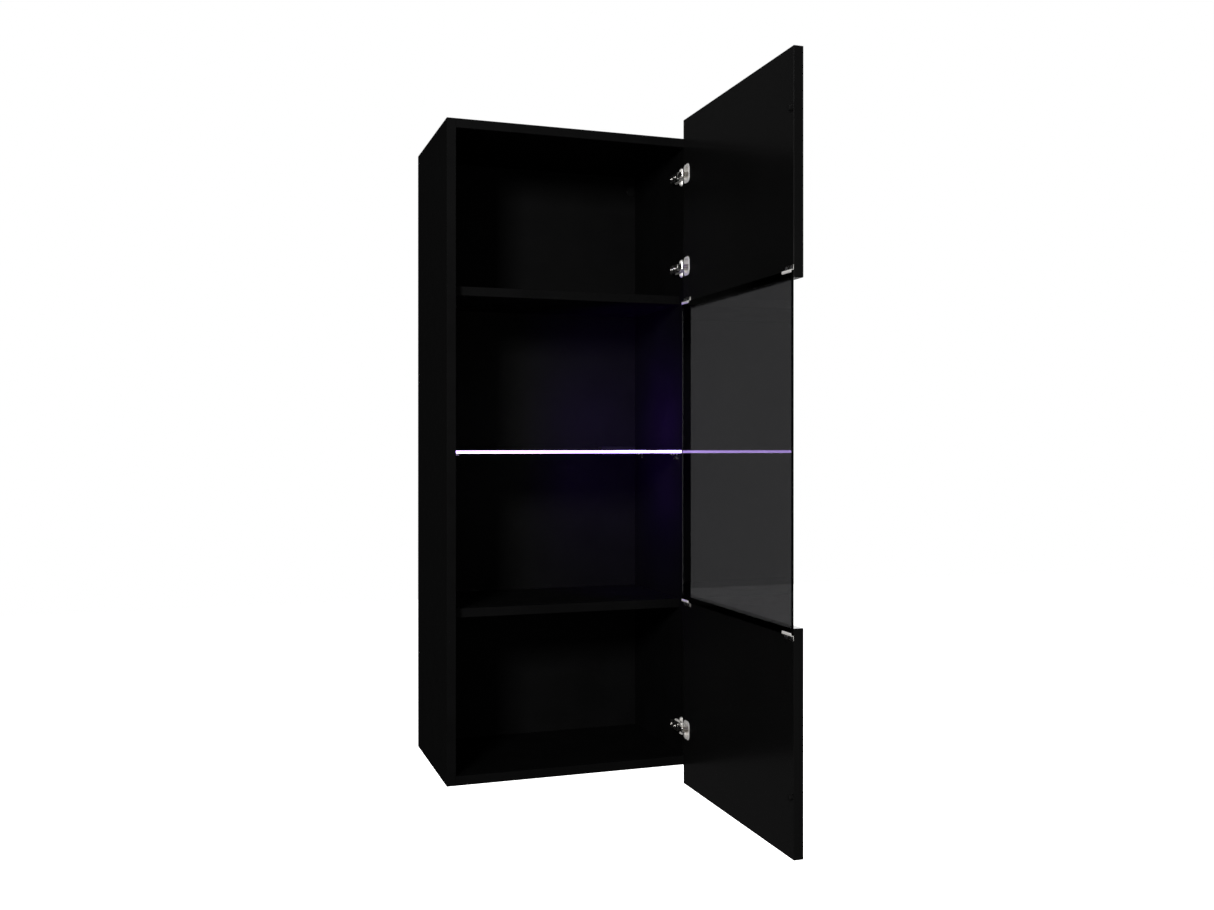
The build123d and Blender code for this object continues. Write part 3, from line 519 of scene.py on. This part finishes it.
def middle_of(node):
    low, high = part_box(node)
    return (low + high) / 2


def hinge_cup(name):
    """A pressed cup: a soft-edged flange, a rim rolled down into the bowl, and two ears for the pin."""
    node = f"hinge_cup_{name}"
    low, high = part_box(node)
    width, height = high.y - low.y, high.z - low.z
    face = Vector((low.x + CUP_FLANGE, (low.y + high.y) / 2, (low.z + high.z) / 2))
    depth = high.x - face.x
    bowl = CUP_RADIUS - CUP_WALL
    rings = [
        # Outside of the bowl
        (-depth, circle(CUP_RADIUS - CUP_FLANGE)),
        (-depth + 0.3 * MM, circle(CUP_RADIUS - 0.3 * MM)),
        (-depth + CUP_FLANGE, circle(CUP_RADIUS)),
        (0, circle(CUP_RADIUS)),
        # Flange, with a soft edge
        (0, rounded(width - 0.4 * MM, height - 0.4 * MM, CUP_CORNER)),
        (0.3 * CUP_FLANGE, rounded(width, height, CUP_CORNER)),
        (0.6 * CUP_FLANGE, rounded(width - 0.4 * MM, height - 0.4 * MM, CUP_CORNER)),
        (0.85 * CUP_FLANGE, rounded(width - 1.4 * MM, height - 1.4 * MM, CUP_CORNER - 0.5 * MM)),
        # Rim, rolled down into the bowl
        (CUP_FLANGE, circle(bowl + 0.35 * MM)),
        (0.75 * CUP_FLANGE, circle(bowl + 0.08 * MM)),
        (0.2 * CUP_FLANGE, circle(bowl)),
        # Inside of the bowl, with its round corner and floor
        (-depth + 2.4 * MM, circle(bowl)),
        (-depth + 1.3 * MM, circle(bowl - 0.4 * MM)),
        (-depth + CUP_WALL, circle(bowl - 1.6 * MM)),
    ]
    mesh = bmesh.new()
    loft(mesh, face, rings)
    pivot = middle_of(f"hinge_pin_{name}")
    floor = high.x - EAR_SINK
    outline = [(floor, pivot.y + EAR_RADIUS), (floor, pivot.y - EAR_RADIUS)]
    outline += arc(pivot, (EAR_RADIUS, EAR_RADIUS), -90, -180)
    for start in EAR_STARTS:
        prism(mesh, outline, pivot.z + start, pivot.z + start + EAR_THICKNESS, "Z", EAR_EDGE)
    finished(mesh, f"hinge_cup_{name}_pressed", "door", "nickel", SATIN_NICKEL, node)


def hinge_arm(name):
    """A domed arm with three pressed leaves that turn down to the pin."""
    node = f"hinge_arm_{name}"
    low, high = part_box(node)
    pivot = middle_of(f"hinge_pin_{name}")
    length, width, thickness = ARM_PLATE
    mesh = bmesh.new()
    back = Vector((low.x + thickness, high.y - length / 2, pivot.z))
    pad(mesh, back, length, width, ARM_CORNER, thickness, ARM_EDGE)
    start = high.y - length + ARM_CORNER
    face = low.x + LEAF_SINK
    outline = [(back.x, start), (face, start)]
    bend = (face + ARM_CORNER, pivot.y - EYE_RADIUS + ARM_CORNER)
    outline += arc(bend, (ARM_CORNER, ARM_CORNER), 180, 90)
    outline += arc(pivot, (EYE_RADIUS, EYE_RADIUS), -90, 180)
    outline.append((back.x, pivot.y + LEAF_REACH))
    for leaf_low, leaf_high in LEAVES:
        prism(mesh, outline, pivot.z + leaf_low, pivot.z + leaf_high, "Z", LEAF_EDGE)
    finished(mesh, f"hinge_arm_{name}_pressed", "cabinet", "nickel", MATERIALS["nickel"], node)


def hinge_plate(name):
    """A winged mounting plate, with a foot behind the wings and a raised block that carries the arm."""
    node = f"hinge_plate_{name}"
    low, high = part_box(node)
    mesh = bmesh.new()
    wing = Vector((high.x, low.y + WING_INSET, (low.z + high.z) / 2))
    pad(mesh, wing, *WING, PLATE_CORNER, BASE, WING_EDGE)
    foot = wing + Vector((0, FOOT_SHIFT, 0))
    pad(mesh, foot, *FOOT, PLATE_CORNER, BASE, FOOT_EDGE)
    pad(mesh, foot, *BLOCK, PLATE_CORNER, high.x - low.x, BLOCK_EDGE)
    finished(mesh, f"hinge_plate_{name}_cast", "cabinet", "nickel", SATIN_NICKEL, node)


def hinge_screws():
    """Two screws that hold each arm to its plate, and two that hold each plate to the side panel."""
    arms, plates = bmesh.new(), bmesh.new()
    for name in HINGES:
        low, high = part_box(f"hinge_arm_{name}")
        for inset in ARM_SCREWS:
            seat = Vector((low.x, high.y - inset, (low.z + high.z) / 2))
            screw(arms, seat, *ARM_SCREW)
        low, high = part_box(f"hinge_plate_{name}")
        for offset in WING_SCREWS:
            seat = Vector((high.x - BASE, low.y + WING_INSET, (low.z + high.z) / 2 + offset))
            screw(plates, seat, *PLATE_SCREW)
    finished(arms, "hinge_arm_screws_cross", "cabinet", "nickel", MATERIALS["nickel"], "hinge_arm_screws")
    finished(plates, "hinge_plate_screws_cross", "cabinet", "nickel", SATIN_NICKEL, "hinge_plate_screws")


def glass_clips():
    """Clips with a satin lip rolled over the glass and a polished foot, each held by two dark screws."""
    screws = bmesh.new()
    for row, away in (("lower", -1), ("upper", 1)):
        for end in ("hinge", "free"):
            node = f"glass_clip_{row}_{end}"
            low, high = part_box(node)
            foot_end = low.z if away == -1 else high.z
            edge = foot_end - away * CLIP_FOOT
            # Distances off the door's panel and from the bend towards the foot, in millimetres
            profile = [(0, 0.2), (0, 8), (0.8, 8), (0.8, 1.5), (1.3, 1)]
            profile += arc((4, -1.4), (1.4, 2.4), 90, -180)
            profile.append((4, 0.2))
            outline = [(high.x - off * MM, edge + away * up * MM) for off, up in profile]
            mesh = bmesh.new()
            prism(mesh, outline, low.y, high.y, "Y", CLIP_SIDE_EDGE)
            clip = finished(mesh, f"{node}_rolled", "door", "nickel", SATIN_NICKEL, node)
            clip.data.materials.append(MATERIALS["nickel"])
            for polygon in clip.data.polygons:
                polygon.material_index = int(away * (polygon.center.z - edge) > CLIP_POLISHED)
            across, height = (low.y + high.y) / 2, foot_end - away * CLIP_SCREW_INSET
            for offset in CLIP_SCREWS:
                screw(screws, Vector((high.x - CLIP_SHEET, across + offset, height)), *CLIP_SCREW)
    finished(screws, "glass_clip_screws_cross", "door", "nickel", BLACK_OXIDE, "glass_clip_screws")


for hinge in HINGES:
    hinge_cup(hinge)
    hinge_arm(hinge)
    hinge_plate(hinge)
hinge_screws()
glass_clips()


# Studio ---------------------------------------------------------------------------------------

def area_light(name, where, target, size, power, colour=(1, 1, 1)):
    """A soft rectangular light that faces a target, and that the camera doesn't see."""
    light = bpy.data.lights.new(name, "AREA")
    light.shape = "RECTANGLE"
    light.size, light.size_y = size
    light.energy = power
    light.color = colour
    lamp = bpy.data.objects.new(name, light)
    lamp.location = where
    lamp.visible_camera = False
    lamp.visible_transmission = False
    lamp.rotation_euler = (Vector(target) - Vector(where)).to_track_quat("-Z", "Y").to_euler()
    bpy.context.scene.collection.objects.link(lamp)
    return lamp


def white_world():
    """A backdrop that is white in view and through the glass, and dimmer as a light and in reflections."""
    world = bpy.data.worlds.new("backdrop")
    world.use_nodes = True
    bpy.context.scene.world = world
    tree = world.node_tree
    seen = tree.nodes["Background"]
    seen.inputs["Color"].default_value = BACKGROUND
    dim = tree.nodes.new("ShaderNodeBackground")
    dim.inputs["Color"].default_value = BACKGROUND
    path = tree.nodes.new("ShaderNodeLightPath")
    strength = spread(tree, path.outputs["Is Diffuse Ray"], REFLECTED, FILL, 0, 1)
    tree.links.new(strength, dim.inputs["Strength"])
    direct = tree.nodes.new("ShaderNodeMath")
    direct.operation = "MAXIMUM"
    tree.links.new(path.outputs["Is Camera Ray"], direct.inputs[0])
    tree.links.new(path.outputs["Is Transmission Ray"], direct.inputs[1])
    mix = tree.nodes.new("ShaderNodeMixShader")
    tree.links.new(direct.outputs[0], mix.inputs["Fac"])
    tree.links.new(dim.outputs[0], mix.inputs[1])
    tree.links.new(seen.outputs[0], mix.inputs[2])
    tree.links.new(mix.outputs[0], tree.nodes["World Output"].inputs["Surface"])


def pale_floor():
    """A plain pale floor below the hung cabinet."""
    bpy.ops.mesh.primitive_plane_add(size=FLOOR_SIZE, location=(0, 0, CAD_LOW.z - FLOOR_DROP))
    floor = bpy.context.object
    floor.name = "floor"
    made, _, principled = shader("pale_floor", (0.85, 0.85, 0.85), 0.9)
    principled.inputs["Emission Color"].default_value = BACKGROUND
    principled.inputs["Emission Strength"].default_value = FLOOR_GLOW
    floor.data.materials.append(made)
    floor.visible_diffuse = False
    floor.visible_glossy = False


def camera():
    data = bpy.data.cameras.new("camera")
    data.lens = CAMERA_LENS
    data.sensor_width = SENSOR_WIDTH
    data.sensor_fit = "HORIZONTAL"
    data.shift_x, data.shift_y = CAMERA_SHIFT
    made = bpy.data.objects.new("camera", data)
    made.location = CAMERA_PLACE
    made.rotation_euler = (math.radians(90), 0, math.radians(CAMERA_TURN))
    bpy.context.scene.collection.objects.link(made)
    bpy.context.scene.camera = made


def glow(name, height, power):
    """A violet light left of the light clip and in front of it, facing the compartment's right rear."""
    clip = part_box("led_clip")[0]
    start = (clip.x + GLOW_FROM_CLIP[0], clip.y + GLOW_FROM_CLIP[1], height)
    target = (start[0] + GLOW_AIM[0], start[1] + GLOW_AIM[1], height)
    lamp = area_light(name, start, target, GLOW_SIZE, power, VIOLET)
    lamp.visible_glossy = False


camera()
white_world()
pale_floor()
bpy.context.scene.view_settings.view_transform = "Standard"
for box_name, (spot, box_size, watts) in SOFTBOXES.items():
    area_light(box_name, spot, MIDDLE, box_size, watts)
shelf_low, shelf_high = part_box("glass_shelf")
glow("glow_above", shelf_high.z + GLOW_ABOVE, power=2.0)
glow("glow_below", shelf_low.z - GLOW_BELOW, power=1.2)
